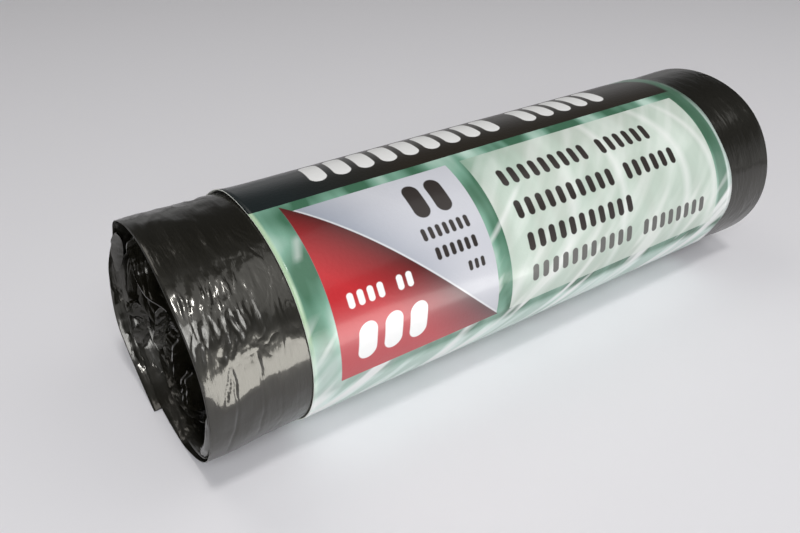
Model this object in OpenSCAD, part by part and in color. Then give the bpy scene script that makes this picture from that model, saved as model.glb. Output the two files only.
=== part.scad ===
// Roll of bin bags, wound without a core and held by a printed paper band.
// The roll lies along X on its own flattened underside. Its open end, the one that is seen, faces -X.
// All sizes are in millimetres.

/* [Roll] */
// Length of the roll, which is the width of one bag folded in three
roll_len = 167; // [150:1:200]
// Width of the roll under its band, as it lies
roll_w = 55.9; // [44:0.1:70]
// Height of the roll under its band, before it sinks on to its underside
roll_h = 49.5; // [40:0.1:62]
// How far the roll's own weight flattens the underside
sag = 0.6; // [0.2:0.1:1.2]
// How far the free ends swell beyond the part that the band holds
swell = 0.5; // [0:0.1:1.2]

/* [Turns] */
// Turns of the winding that can be told apart, each a bunch of many thin plies
turns = 8; // [5:1:9]
// Thickness of one bunch of plies at the ends of the roll
bunch = 2; // [1:0.1:2.4]
// Thickness of the outermost turn at the ends of the roll
outer_wall = 1.2; // [0.6:0.1:1.6]
// Thickness of the loose edge where the last bag ends
tail_step = 0.9; // [0.3:0.1:1.4]
// Bearing of that loose edge, from the back of the roll towards its top
tail_bearing = 285; // [275:5:300]
// How far the loose edge's corner stands out from the near end
tail_out = 1.7; // [0:0.1:2.5]
// Share of the roll's radius that the hollow in its middle takes up
hollow = 0.1; // [0.06:0.01:0.16]

/* [Near end] */
// How far the middle of the winding is drawn in at the end that is seen
near_recess = 4.5; // [2:0.5:16]
// Drop from the outermost turn to the next one inside it
near_drop = 1.6; // [0.8:0.1:6]
// Depth of the gaps between the turns
near_gap = 4.5; // [2:0.5:9]
// How far the inner turns have sunk away from the top and the front
near_slump = 2; // [0:0.1:2.4]
// Unevenness of the crumpled edges
near_crumple = 0.8; // [0:0.1:2]
// How far the pinched top of the back is drawn in, along the roll and towards its axis
near_pinch = 1.1; // [0:0.1:2]

/* [Far end] */
// How far the middle of the winding is drawn in at the tidy end
far_recess = 3; // [1:0.5:8]
// Drop from the outermost turn to the next one inside it
far_drop = 0.8; // [0.2:0.1:2]
// Depth of the gaps between the turns
far_gap = 2.5; // [1:0.5:5]
// How far the inner turns have sunk
far_slump = 0.8; // [0:0.1:2]
// Unevenness of the edges
far_crumple = 0.4; // [0:0.1:1]
// How far the top of the back is drawn in towards the axis
far_pinch = 0.3; // [0:0.1:1]

/* [Band] */
// Bare roll left in front of the band, at the near end
near_overhang = 21.4; // [12:0.1:30]
// Bare roll left behind the band, at the far end
far_overhang = 16.8; // [10:0.1:30]
// Thickness of the paper
band_wall = 0.2; // [0.1:0.05:0.4]
// Clearance between the band and the roll
band_gap = 0.25; // [0.1:0.05:0.5]
// Width of the glued lap that closes the band
lap = 14; // [8:1:20]
// Bearing of the lap's middle, low on the back of the roll
lap_bearing = 318; // [310:1:335]

/* [Print] */
// Bearings of the dark stripe's two edges, over the top of the roll
stripe = [52, 100]; // [45:1:115]
// Bearings of the upper and the lower edge of the two panels
panel = [105, 192]; // [102:1:200]
// Border between the band's ends and the panels
border = 6.2; // [3:0.1:10]
// Width of the left panel, along the roll
left_panel_w = 40.2; // [25:0.1:50]
// Strip of the ground colour between the panels
between = 3.8; // [2:0.1:8]
// Thickness of one coat of print
ink = 0.05; // [0.04:0.01:0.08]

/* [Hidden] */

// Stations round one turn, and points across one turn from edge to edge
stations = 60;
across = 4;
// Height of the winding's axis above the table, and the half sizes of the oval section
axis_h = roll_h / 2 + band_gap + band_wall - sag;
half = [roll_w / 2, roll_h / 2];
// The roll's underside rests in the band, which is all that touches the table
foot_gap = 0.05;
near_x = -roll_len / 2;
far_x = roll_len / 2;
band_x = [near_x + near_overhang, far_x - far_overhang];
// Width of the slope between a turn's edge and the gap beside it
slope = 0.25;
// Share of a turn that the next gap may never take up
least = 0.3;
// Where the inner turns end and the outermost one begins, as a share of the radius
inner_share = 0.86;
// The ends' values, as pairs of near and far
recess = [near_recess, far_recess];
drop = [near_drop, far_drop];
gap_depth = [near_gap, far_gap];
slump = [near_slump, far_slump];
crumple = [near_crumple, far_crumple];
pinch = [near_pinch, far_pinch];
// Bearing and spread of the pinch over the top of the back
pinch_at = [34, 26];
// Share of a turn over which the next turn inside sinks to its own depth, and in which the drop
// at the loose edge comes back
sink_in = 0.22;
come_back = 0.17;
// Share of a turn over which the turns inside the outermost one draw away from it
settle = 0.625;
// How the recess deepens towards the middle: above 1, it does so late
deepening = 1.4;
// Turns from the loose edge between which a bunch thins out to the outer wall
thin_out = [1.4, 0.9];
// How far the inner edge of a crest lies behind its outer edge
crest_tilt = 0.3;
// Share of the last turn after which its rim begins to stand out, and is fully out
stand_out = [0.74, 0.88];
// Direction in which the inner turns sink, towards the back and down
sink_way = [0.8, -0.6];
// How much flatter the innermost turn is than the roll
squash = 0.4;
// Unevenness of the turns across the section, as shares of the radius
ripple = [0.02, 0.008];
// Thickness of the loose edge where the band presses it down
tail_held = 0.35;
// Height of the shallow folds beside the band, and rounding of the rim
side_fold = 0.28;
rim_rounding = 0.1;
// Last station of the winding's end face: the outermost turn runs on from it as the roll's side
last = (turns - 1) * stations;
// Points of one ring round the roll's side, the step at the loose edge included
ring_n = stations + across;

function smooth(v) = let (t = min(1, max(0, v))) t * t * (3 - 2 * t);
function blend(p, q, t) = p * (1 - t) + q * t;
function bump(a, middle, spread) =
    let (d = (((a - middle) % 360) + 540) % 360 - 180)
    exp(-pow(d / spread, 2));

// Bearing after w turns, counted from the middle: the winding ends at the loose edge
function bearing(w) = tail_bearing + 360 * (turns - w);

// How many turns lie outside turn w, where 0 is the outermost
function depth_in(w) = max(0, turns - 1 - w);

// Section of the roll at bearing a, grown by g and with its underside no lower than floor_z
function outline(a, g, floor_z) = [
    (half[0] + g) * cos(a),
    max(floor_z, axis_h + (half[1] + g) * sin(a))
];

// Outline at an end: swollen, but flatter over the top of the back, where the end is pinched
function end_outline(a, e) = outline(a, swell - pinch[e] * bump(a, pinch_at[0], pinch_at[1]), 0);

// Share of the radius at which turn w begins. The last turn is the roll's own outline, which
// drops by the thickness of the loose edge there and soon comes back.
function share(w) =
    let (step = tail_step / half[0], d = depth_in(w))
    w > turns - 1
        ? 1 - step * (1 - smooth((w - turns + 1) / come_back))
        : d < 1
            ? blend(1 - step, inner_share, smooth(d / settle))
            : blend(hollow, inner_share, w / (turns - 2));

// Waves of the crumpled film at bearing a, w turns from the middle, between about -1 and 1
function waves(a, w) =
    0.5 * sin(3 * a + 97 * w) + 0.3 * sin(7 * a - 61 * w) + 0.2 * sin(11 * a + 143 * w);

// Place of turn w's inner edge in the section, at end e
function turn_edge(w, e) =
    let (
        a = bearing(w),
        sunk = smooth(depth_in(w) / settle) * slump[e] * sink_way,
        flat = 1 - squash * pow(max(0, 1 - w / (turns - 2)), 2),
        scale = share(w) * (1 + ripple[e] * smooth(depth_in(w)) * waves(a, w)),
        base = end_outline(a, e)
    )
    sunk + [scale * base[0], axis_h + scale * flat * (base[1] - axis_h)];

// How far behind the end's outer rim the crest of turn w lies, at end e
function crest_depth(w, e) =
    let (d = depth_in(w), fall = (recess[e] - drop[e]) * pow(min(1, d / (turns - 1)), deepening))
    smooth(d / sink_in) * (drop[e] + fall + crumple[e] * waves(bearing(w), w + 0.3));

// The rim's own unevenness along X after w turns. At the near end the last turn stands out
// towards the loose edge, and all turns are drawn in a little at the pinched top of the back.
function rim(w, e) =
    let (
        a = bearing(w),
        gone = w - turns + 1,
        out = tail_out * smooth((gone - stand_out[0]) / (stand_out[1] - stand_out[0])),
        drawn_in = near_pinch * bump(a, pinch_at[0], pinch_at[1])
    )
    e == 0 ? drawn_in - out + 0.15 * sin(5 * a) : 0.5 * sin(2 * a + 30) + 0.2 * sin(5 * a);

// Point j across the turn that ends after w + 1 turns: 0 is the last turn's outer edge, 1 and 2
// are the floor of the gap, 3 and 4 the inner and outer edges of this turn's crest
function end_point(w, j, e) =
    let (
        inner = turn_edge(w, e),
        outer = turn_edge(w + 1, e),
        wide = norm(outer - inner),
        is_outer = smooth((w + 1 - turns + thin_out[0]) / (thin_out[0] - thin_out[1])),
        thick = min(blend(bunch, outer_wall, is_outer), (1 - least) * wide),
        open = smooth((wide - thick - slope) / slope),
        s = min(slope, least * wide / 3),
        at = [0, s, wide - thick - s, wide - thick, wide][j] / wide,
        p = blend(inner, outer, at),
        this = j == 0 ? w : w + 1,
        gap = gap_depth[e] * open * (j == 1 || j == 2 ? 1 : 0),
        tuck = j == 3 ? crest_tilt : 0,
        along = rim(this, e) + crest_depth(this, e) + gap + tuck
    )
    [e == 0 ? near_x + along : far_x - along, p[0], p[1]];

// Floor of the hollow in the middle
function middle(e) =
    let (along = recess[e] + gap_depth[e], p = (turn_edge(0, e) + turn_edge(0.5, e)) / 2)
    [e == 0 ? near_x + along : far_x - along, p[0], p[1]];

// End face: one strip wound from the middle outwards. Each station adds its points 1 to across,
// and its point 0 is the last point of the station one turn before. The first turn has its own.
end_n = stations + (last + 1) * across + 1;
function end_points(e) = concat(
    [for (i = [0:stations - 1]) end_point(i / stations, 0, e)],
    [for (i = [0:last]) for (j = [1:across]) end_point(i / stations, j, e)],
    [middle(e)]
);
function at(i, j) = j > 0
    ? stations + i * across + j - 1
    : i < stations ? i : stations + (i - stations) * across + across - 1;
function end_faces() = concat(
    [for (i = [0:last - 1]) for (j = [0:across - 1]) each [
        [at(i, j), at(i + 1, j), at(i + 1, j + 1)],
        [at(i, j), at(i + 1, j + 1), at(i, j + 1)]
    ]],
    [for (i = [0:stations - 1]) [end_n - 1, at(i + 1, 0), at(i, 0)]],
    [for (j = [0:across - 1]) [end_n - 1, at(0, j), at(0, j + 1)]]
);

// The end face's own boundary, which is the first ring of the side: once round the outline,
// then in across the step at the loose edge
function border_of_end() = concat(
    [for (i = [last - stations:last]) at(i, across)],
    [for (j = [across - 1:-1:1]) at(last, j)]
);

// Rings of the side, from the near end to the far end: how far each has gone from the end's
// shape to the band's, and where it lies
ring_steps = [0.05, 0.14, 0.3, 0.55, 0.8, 1];
rings = concat(
    [for (t = ring_steps) [0, t, near_x + t * near_overhang]],
    [for (t = [for (k = [len(ring_steps) - 1:-1:0]) ring_steps[k]]) [1, t, far_x - t * far_overhang]]
);
// Shallow folds that run round the film beside the band
function side_wave(a, t) = side_fold * sin(180 * t) * waves(a, 2 * t) - (t < 0.1 ? rim_rounding : 0);
function side_point(ring, k) =
    let (
        e = ring[0],
        t = ring[1],
        loosed = 1 - smooth(t),
        gone = min(k, stations) / stations,
        inward = max(0, k - stations) / across,
        a = bearing(turns - 1 + gone),
        held = outline(a, 0, band_wall + foot_gap),
        p = blend(held, end_outline(a, e), loosed),
        step = blend(tail_held, tail_step, loosed) / half[0],
        dropped = inward > 0 ? inward : 1 - smooth(gone / come_back),
        scale = 1 - step * dropped + side_wave(a, t) / half[0],
        q = [0, axis_h] + scale * (p - [0, axis_h]),
        rim_here = blend(rim(turns - 1 + gone, e), rim(turns - 1, e), inward),
        along = rim_here * (1 - smooth(1.5 * t)),
        floor_z = (band_wall + foot_gap) * (1 - loosed)
    )
    [ring[2] + (e == 0 ? along : -along), q[0], max(q[1], floor_z)];

// One turn's worth of points is written for each ring, so that neighbouring rings join up
function side_faces(start_n) =
    let (
        edge = border_of_end(),
        near_ring = edge,
        far_ring = [for (v = edge) v + end_n],
        mid_rings = [for (r = [0:len(rings) - 1]) [for (k = [0:ring_n - 1]) start_n + r * ring_n + k]],
        loops = concat([near_ring], mid_rings, [far_ring])
    )
    [for (r = [0:len(loops) - 2]) for (k = [0:ring_n - 1])
        let (n = (k + 1) % ring_n)
        each [
            [loops[r][k], loops[r + 1][n], loops[r + 1][k]],
            [loops[r][k], loops[r][n], loops[r + 1][n]]
        ]];

// The wound bags, with every turn in one piece
module bag_roll() {
    sides = [for (ring = rings) for (k = [0:ring_n - 1]) side_point(ring, k)];
    ends = end_faces();
    color([0.12, 0.12, 0.12])
        polyhedron(
            points = concat(end_points(0), end_points(1), sides),
            faces = concat(
                ends,
                [for (f = ends) [f[2] + end_n, f[1] + end_n, f[0] + end_n]],
                side_faces(2 * end_n)
            ),
            convexity = 10
        );
}

// Bearings from one to another, ends included, in equal steps of at most 6 degrees
function span(from, to) =
    let (count = max(1, ceil((to - from) / 6)))
    [for (k = [0:count]) from + (to - from) * k / count];

// Bearings round the whole band, from the lap's loose edge on. The edges of the print are
// among them, so the print follows the band's own facets.
lap_angle = lap / half[0] * 180 / PI;
lap_from = lap_bearing - lap_angle / 2;
lap_to = lap_bearing + lap_angle / 2;
lap_ramp = 5;
band_spans = [lap_to + lap_ramp, 360 + stripe[0], 360 + stripe[1], 360 + panel[0], 360 + panel[1]];
band_bearings = concat(
    [for (k = [0:len(band_spans) - 2]) each span(band_spans[k], band_spans[k + 1])],
    span(band_spans[4], 360 + lap_from)
);

// Ring of the band's paper. The lap doubles it: a step at the loose edge, and a ramp where the
// paper comes down again past the edge underneath.
module band_section() {
    outer = band_gap + band_wall;
    difference() {
        polygon(concat(
            [for (a = span(lap_from, lap_to)) outline(a, outer + band_wall, 0)],
            [for (a = band_bearings) outline(a, outer, 0)]
        ));
        polygon([
            for (a = concat(span(lap_from, lap_to), band_bearings)) outline(a, band_gap, band_wall)
        ]);
    }
}

// A field of print: a thin coat on the band between two bearings and two places along the roll
module field(from, to, x0, x1, coat) {
    bearings = span(from, to);
    translate([x0, 0, 0])
        rotate([90, 0, 90])
            linear_extrude(x1 - x0)
                polygon(concat(
                    [for (a = bearings) outline(a, band_gap + band_wall + coat, 0)],
                    [
                        for (k = [len(bearings) - 1:-1:0])
                            outline(bearings[k], band_gap + band_wall / 2, 0)
                    ]
                ));
}

// Height of bearing a on the panel, seen straight on along the panel's middle
panel_middle = (panel[0] + panel[1]) / 2;
function seen_at(a) =
    let (p = outline(a, band_gap + band_wall, 0) - [0, axis_h])
    p[0] * sin(panel_middle) - p[1] * cos(panel_middle);

// All that lies below the diagonal from the upper left to the lower right of a panel
module below_diagonal(x0, x1) {
    reach = roll_w;
    top = seen_at(panel[0]);
    fall = (seen_at(panel[1]) - top) / (x1 - x0);
    translate([0, 0, axis_h])
        rotate([panel_middle - 90, 0, 0])
            linear_extrude(reach)
                polygon([
                    [x0 - reach, top - fall * reach],
                    [x0 - reach, -reach],
                    [x1 + reach, -reach],
                    [x1 + reach, top + fall * (x1 + reach - x0)]
                ]);
}

// Printed paper band, wrapped round the roll and glued to itself at the back
module label_band() {
    left = [band_x[0] + border, band_x[0] + border + left_panel_w];
    right = [left[1] + between, band_x[1] - border];
    color([0.55, 0.72, 0.62])
        translate([band_x[0], 0, 0])
            rotate([90, 0, 90])
                linear_extrude(band_x[1] - band_x[0])
                    band_section();
    color([0.17, 0.15, 0.13])
        field(stripe[0], stripe[1], band_x[0], band_x[1], ink);
    color([0.78, 0.79, 0.81])
        field(panel[0], panel[1], left[0], left[1], ink);
    color([0.78, 0.16, 0.17])
        intersection() {
            field(panel[0], panel[1], left[0], left[1], 2 * ink);
            below_diagonal(left[0], left[1]);
        }
    color([0.83, 0.88, 0.84])
        field(panel[0], panel[1], right[0], right[1], ink);
}

bag_roll();
label_band();
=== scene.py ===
"""Looks of a roll of bin bags that lies on its side on a pale table.

Sizes are in millimetres and become metres as a mesh is made. A place round the roll is its
bearing in degrees: 0 is the back (+Y), 90 the top, 180 the side that the camera sees and 270
the underside. A place along the roll is its x, from the open near end to the tidy far end.
"""

import bpy
import numpy as np
from mathutils import Matrix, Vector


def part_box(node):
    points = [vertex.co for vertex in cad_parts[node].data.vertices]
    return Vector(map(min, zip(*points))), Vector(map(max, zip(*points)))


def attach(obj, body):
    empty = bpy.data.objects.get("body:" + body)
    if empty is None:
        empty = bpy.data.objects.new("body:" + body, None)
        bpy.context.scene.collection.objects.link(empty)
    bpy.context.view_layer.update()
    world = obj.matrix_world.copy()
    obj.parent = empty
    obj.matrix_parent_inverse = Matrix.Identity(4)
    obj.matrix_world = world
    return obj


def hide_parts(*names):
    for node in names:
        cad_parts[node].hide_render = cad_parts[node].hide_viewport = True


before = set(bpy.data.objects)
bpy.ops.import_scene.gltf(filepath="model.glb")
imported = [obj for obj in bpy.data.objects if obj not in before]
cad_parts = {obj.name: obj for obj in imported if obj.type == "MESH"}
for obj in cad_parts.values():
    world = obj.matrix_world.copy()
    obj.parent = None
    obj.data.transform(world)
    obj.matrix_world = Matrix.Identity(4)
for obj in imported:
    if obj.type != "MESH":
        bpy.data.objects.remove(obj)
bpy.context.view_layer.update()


# Camera. It stands close in front of the near end, above and to the left of the roll, and looks
# down along it, as the photograph does.
MM = 0.001
CAMERA_PLACE = (-112.04, -130.26, 120.64)
CAMERA_AZIMUTH = -34.5
CAMERA_ELEVATION = 32.32
LENS = 34.25


def look_from(azimuth, elevation, place):
    """Level turn of an object whose back points to an azimuth from -Y towards +X and to an
    elevation above the horizon: its columns are right, up and back, and then its place."""
    a, e = np.radians((azimuth, elevation))
    back = np.array([np.sin(a) * np.cos(e), -np.cos(a) * np.cos(e), np.sin(e)])
    right = np.cross((0, 0, 1), back)
    right /= np.linalg.norm(right)
    turn = np.eye(4)
    turn[:3, 0] = right
    turn[:3, 1] = np.cross(back, right)
    turn[:3, 2] = back
    turn[:3, 3] = np.array(place) * MM
    return Matrix(turn.tolist())


camera = bpy.data.objects.new("camera", bpy.data.cameras.new("camera"))
camera.data.lens = LENS
camera.matrix_world = look_from(CAMERA_AZIMUTH, CAMERA_ELEVATION, CAMERA_PLACE)
bpy.context.scene.collection.objects.link(camera)
bpy.context.scene.camera = camera
bpy.context.scene.view_settings.view_transform = "Standard"


# Table. One flat pale matt board, far larger than the view. The roll lies on it, and takes no
# other hold.
class Wire:
    """One output of a material's nodes. Arithmetic on it adds Math nodes to the material."""

    def __init__(self, finish, socket):
        self.finish = finish
        self.socket = socket

    def math(self, operation, *others):
        return self.finish.node("ShaderNodeMath", {"operation": operation}, (self, *others))

    def clipped(self):
        """The value held between 0 and 1."""
        return self.math("MAXIMUM", 0).math("MINIMUM", 1)

    def __add__(self, other):
        return self.math("ADD", other)

    def __mul__(self, other):
        return self.math("MULTIPLY", other)

    def __sub__(self, other):
        return self.math("SUBTRACT", other)

    def __rsub__(self, other):
        return self * -1 + other

    def __truediv__(self, other):
        return self.math("DIVIDE", other)

    __radd__ = __add__
    __rmul__ = __mul__


# A Mix node's sockets for two colours and for the colour between them
MIX_FIRST, MIX_SECOND, MIX_RESULT = 6, 7, 2


class Finish:
    """A material made by nodes round one glossy shader."""

    def __init__(self, name, **shader_values):
        self.material = bpy.data.materials.new(name)
        self.material.use_nodes = True
        self.tree = self.material.node_tree
        self.shader = self.tree.nodes["Principled BSDF"]
        self.join(self.shader, {key.replace("_", " "): value for key, value in shader_values.items()})

    def join(self, node, inputs):
        """Gives a node's inputs, by name or by number, their values or links."""
        for key, value in inputs.items():
            if isinstance(value, Wire):
                self.tree.links.new(value.socket, node.inputs[key])
            else:
                node.inputs[key].default_value = value

    def node(self, kind, settings=None, inputs=(), output=0):
        """Adds a node: its settings first, among them a ramp's stops, and then its inputs."""
        made = self.tree.nodes.new(kind)
        for key, value in (settings or {}).items():
            if key == "stops":
                ramp = made.color_ramp
                while len(ramp.elements) < len(value):
                    ramp.elements.new(0.5)
                for element, (place, colour) in zip(ramp.elements, value):
                    element.position = place
                    element.color = (*colour, 1)
            else:
                setattr(made, key, value)
        self.join(made, dict(inputs) if isinstance(inputs, dict) else dict(enumerate(inputs)))
        return Wire(self, made.outputs[output])

    def mix(self, share, first, second):
        """Colour between two others, by a share from 0 to 1."""
        return self.node(
            "ShaderNodeMix",
            {"data_type": "RGBA"},
            {"Factor": share, MIX_FIRST: as_colour(first), MIX_SECOND: as_colour(second)},
            output=MIX_RESULT,
        )


def as_colour(value):
    """A link as it is, or three numbers as an opaque colour."""
    return value if isinstance(value, Wire) else (*value, 1)


def from_screen(red, green, blue):
    """Linear colour of a screen colour given from 0 to 255, by the screen's own curve: a straight
    foot, and above it a power of 2.4."""
    share = np.array((red, green, blue)) / 255
    linear = np.where(share <= 0.04045, share / 12.92, ((share + 0.055) / 1.055) ** 2.4)
    return tuple(float(v) for v in linear)


TABLE_SIZE = 1900
TABLE_COLOUR = from_screen(229, 228, 231)

table_mesh = bpy.data.meshes.new("table")
table_corners = np.array([(-1, -1, 0), (1, -1, 0), (1, 1, 0), (-1, 1, 0)]) * TABLE_SIZE / 2 * MM
table_mesh.from_pydata(table_corners.tolist(), [], [(0, 1, 2, 3)])
table = bpy.data.objects.new("table", table_mesh)
table_finish = Finish("table_board", Base_Color=(*TABLE_COLOUR, 1), Roughness=0.6)
table_mesh.materials.append(table_finish.material)
bpy.context.scene.collection.objects.link(table)


# Light. A small key lamp high in front draws the narrow shadow under the roll. Soft lamps fill it
# from behind, from the left and from the right, and one in front glints in the crumples. A low
# glow, seen in reflections alone, stands for the bright window that the film mirrors.
def facing_roll(azimuth, elevation, distance):
    """Place of a lamp that faces the roll from a direction, given as the camera's is."""
    turn = look_from(azimuth, elevation, (0, 0, 0))
    return look_from(azimuth, elevation, turn.col[2].xyz * distance)


def lamp(name, place, size, power, colour):
    """Soft lamp of a width and a height."""
    light = bpy.data.lights.new(name, "AREA")
    light.shape = "RECTANGLE"
    light.size, light.size_y = size[0] * MM, size[1] * MM
    light.energy = power
    light.color = colour
    made = bpy.data.objects.new(name, light)
    made.matrix_world = place
    bpy.context.scene.collection.objects.link(made)
    return made


lamp("key_lamp", facing_roll(-12, 70, 1400), (170, 170), 4.7, (1, 0.985, 0.975))
lamp("back_lamp", facing_roll(205, 60, 1300), (600, 600), 1.7, (1, 0.965, 0.92))
lamp("left_lamp", facing_roll(-36, 35, 1400), (735, 735), 10.6, (0.965, 0.975, 1))
lamp("glint_lamp", facing_roll(-12, 45, 800), (290, 250), 1.0, (0.98, 0.99, 1))
lamp("right_lamp", facing_roll(46, 60, 800), (640, 560), 1.0, (1, 0.995, 0.98))

GLOW_MIDDLE = (36, -293, 30)
GLOW_TURN, GLOW_TILT = (np.radians(angle) for angle in (19, 8))
glow_place = (
    Matrix.Translation([v * MM for v in GLOW_MIDDLE])
    @ Matrix.Rotation(GLOW_TURN, 4, "Z")
    @ Matrix.Rotation(np.pi - GLOW_TILT, 4, "X")
)
glow = lamp("low_glow", glow_place, (150, 400), 1.15, (1, 0.985, 0.935))
glow.visible_camera = False
glow.visible_diffuse = False

# The room by the sine of the height above the horizon: pale walls and dim overhead. The camera
# itself sees a plain backdrop.
ROOM_STOPS = (
    (0.0, (0.2, 0.2, 0.2)), (0.02, (0.5, 0.5, 0.5)),
    (0.25, (0.3, 0.3, 0.31)), (0.45, (0.036, 0.036, 0.036)),
)
BACKDROP = from_screen(205, 204, 203)
world = bpy.data.worlds.new("room")
world.use_nodes = True
bpy.context.scene.world = world
room = world.node_tree
sky = room.nodes.new("ShaderNodeTexCoord")
height = room.nodes.new("ShaderNodeSeparateXYZ")
room.links.new(sky.outputs["Generated"], height.inputs[0])
gradient = room.nodes.new("ShaderNodeValToRGB")
for stop in ROOM_STOPS[2:]:
    gradient.color_ramp.elements.new(stop[0])
for stop, (at, shade) in zip(gradient.color_ramp.elements, ROOM_STOPS):
    stop.position = at
    stop.color = (*shade, 1)
room.links.new(height.outputs["Z"], gradient.inputs["Fac"])
seen = room.nodes.new("ShaderNodeLightPath")
room_mix = room.nodes.new("ShaderNodeMix")
room_mix.data_type = "RGBA"
room.links.new(gradient.outputs["Color"], room_mix.inputs[MIX_FIRST])
room_mix.inputs[MIX_SECOND].default_value = (*BACKDROP, 1)
room.links.new(seen.outputs["Is Camera Ray"], room_mix.inputs["Factor"])
room.links.new(room_mix.outputs[MIX_RESULT], room.nodes["Background"].inputs["Color"])


# Wound bags. Thin black polyethylene film, folded in three and wound without a core into one
# roll. The near end is open and crumpled, the far end tidy, and the last bag's loose edge lies
# low at the back.
band_low, band_high = (np.array(corner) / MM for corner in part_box("label_band"))

# The film fills the band's box but for the paper, its clearance and the ink. Its oval reaches
# below the table by the sag, and is cut off flat there, a small gap above the paper.
PAPER = 0.2
CLEARANCE = 0.25
INK = 0.05
SAG = 0.6
FOOT_GAP = 0.05
HALF_Y = (band_high[1] - band_low[1]) / 2 - CLEARANCE - PAPER - INK
HALF_Z = (band_high[2] - INK + SAG) / 2 - CLEARANCE - PAPER
AXIS_H = HALF_Z + CLEARANCE + PAPER - SAG
BAND_X = (band_low[0], band_high[0])
NEAR_X, FAR_X = -83.5, 83.5

# Turns of the winding, stations round one turn and steps across it
TURNS = 8
STATIONS = 220
ACROSS = 18
# The last bag's loose edge: its bearing, its thickness at the ends and under the band, how far its
# corner stands out, and the share of a turn in which the roll comes back to its full radius
TAIL_BEARING = 285
TAIL_STEP = 0.9
TAIL_STEP_HELD = 0.35
TAIL_OUT = 1.7
TAIL_SHARE = 0.17
# Swelling of the bare ends, and how far they are pinched in over the back
SWELL = 0.5
NEAR_PINCH, FAR_PINCH = 1.1, 0.3
PINCH_BEARING, PINCH_SPREAD = 34, 26
# Shares of the radius at which the first turn and the outermost turn begin, and the share of a turn
# behind the outermost one in which the winding comes loose
HOLLOW = 0.1
INNER_SHARE = 0.86
LOOSE_SHARE = 0.625


def smooth(v):
    """Smooth step: 3t² - 2t³, with t held between 0 and 1."""
    t = np.clip(v, 0, 1)
    return t * t * (3 - 2 * t)


def blend(p, q, t):
    """Straight mix of p and q by a share t."""
    return p * (1 - t) + q * t


def hill(bearing, middle, spread):
    """Round hill over the bearing: e to the minus square of the angle from its middle over its
    spread, the short way round."""
    away = (bearing - middle + 180) % 360 - 180
    return np.exp(-((away / spread) ** 2))


def rumple(u, v, seed, period=64):
    """Smooth noise from -1 to 1: random heights at whole numbers of u and v, blended between
    them by the smooth step. It repeats along v after a whole period."""
    heights = np.random.default_rng(seed).uniform(-1, 1, (64, 64))
    i, j = np.floor(u).astype(int), np.floor(v).astype(int)
    s, t = smooth(u - i), smooth(v - j)
    rows = [
        blend(heights[i % 64, (j + k) % period], heights[(i + 1) % 64, (j + k) % period], s)
        for k in (0, 1)
    ]
    return blend(rows[0], rows[1], t)


def creases(u, v, seed, period=64):
    """Sharp ridges between soft hollows, from -1 to 1: one minus twice the size of the noise."""
    return 1 - 2 * np.abs(rumple(u, v, seed, period))


def outline(bearing, grown, floor):
    """Oval of the roll's section, grown by a distance, with its underside cut off flat at a
    height. The last axis of the result is y and z."""
    a = np.radians(bearing)
    y = (HALF_Y + grown) * np.cos(a)
    z = np.maximum(floor, AXIS_H + (HALF_Z + grown) * np.sin(a))
    return np.stack([y, z], -1)


def end_outline(bearing, near):
    """The oval at an end: swollen, but pinched over the top of the back."""
    pinch = (NEAR_PINCH if near else FAR_PINCH) * hill(bearing, PINCH_BEARING, PINCH_SPREAD)
    return outline(bearing, SWELL - pinch, 0)


# Rim of the near end: where in the last turn it starts to stand out and over how much of that turn,
# its bulge at the back, the bearing and spread of the part that is drawn in, and its waves' height.
# Then the heights of the far rim's two waves, and the start of the first in radians.
RIM_OUT_FROM, RIM_OUT_OVER = 0.74, 0.14
BULGE, BULGE_BEARING, BULGE_SPREAD = 0.6, 12, 16
DRAWN_IN = (36, 24)
NEAR_WAVES, FAR_WAVES, FAR_WAVE_START = 0.15, (0.5, 0.2), 0.52


def turn_bearing(turn):
    """Bearing after some turns, which the winding reaches going backwards from the loose edge."""
    return TAIL_BEARING + 360 * (TURNS - turn)


def rim(turn, near):
    """How far the rim is drawn in along x after some turns. At the near end the last turn stands
    out towards the loose edge and bulges at the back, and all are drawn in over the pinched top.
    Sines of two and of five times the bearing make it uneven."""
    bearing = turn_bearing(turn)
    a = np.radians(bearing)
    if near:
        gone = turn - TURNS + 1
        out = TAIL_OUT * smooth((gone - RIM_OUT_FROM) / RIM_OUT_OVER)
        bulge = BULGE * hill(bearing, BULGE_BEARING, BULGE_SPREAD)
        return NEAR_PINCH * hill(bearing, *DRAWN_IN) - out - bulge + NEAR_WAVES * np.sin(5 * a)
    return FAR_WAVES[0] * np.sin(2 * a + FAR_WAVE_START) + FAR_WAVES[1] * np.sin(5 * a)


def share(turn):
    """Share of the radius at which a turn begins: from the hollow outwards in even steps, then
    over to the outermost turn, which drops by the loose edge's thickness and comes back."""
    step = TAIL_STEP / HALF_Y
    deep = TURNS - 1 - turn
    inner = blend(HOLLOW, INNER_SHARE, turn / (TURNS - 2))
    between = blend(1 - step, INNER_SHARE, smooth(deep / LOOSE_SHARE))
    outer = 1 - step * (1 - smooth(-deep / TAIL_SHARE))
    return np.where(deep < 0, outer, np.where(deep < 1, between, inner))


# At the near and the far end: how uneven the turns are, as a share of their radius, how far they
# have sunk towards the back and down, and how much further they have sunk back at the front, which
# fades over a width to either side of the axis
UNEVEN = (0.035, 0.008)
SUNK_BACK = (1.2, 0.8)
SUNK_DOWN = (1.2, 0.5)
SUNK_FRONT = (3.4, 0)
SUNK_HALF_WIDTH = 24
# How much flatter than the outline the first turn is
FLATTER = 0.4


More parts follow.
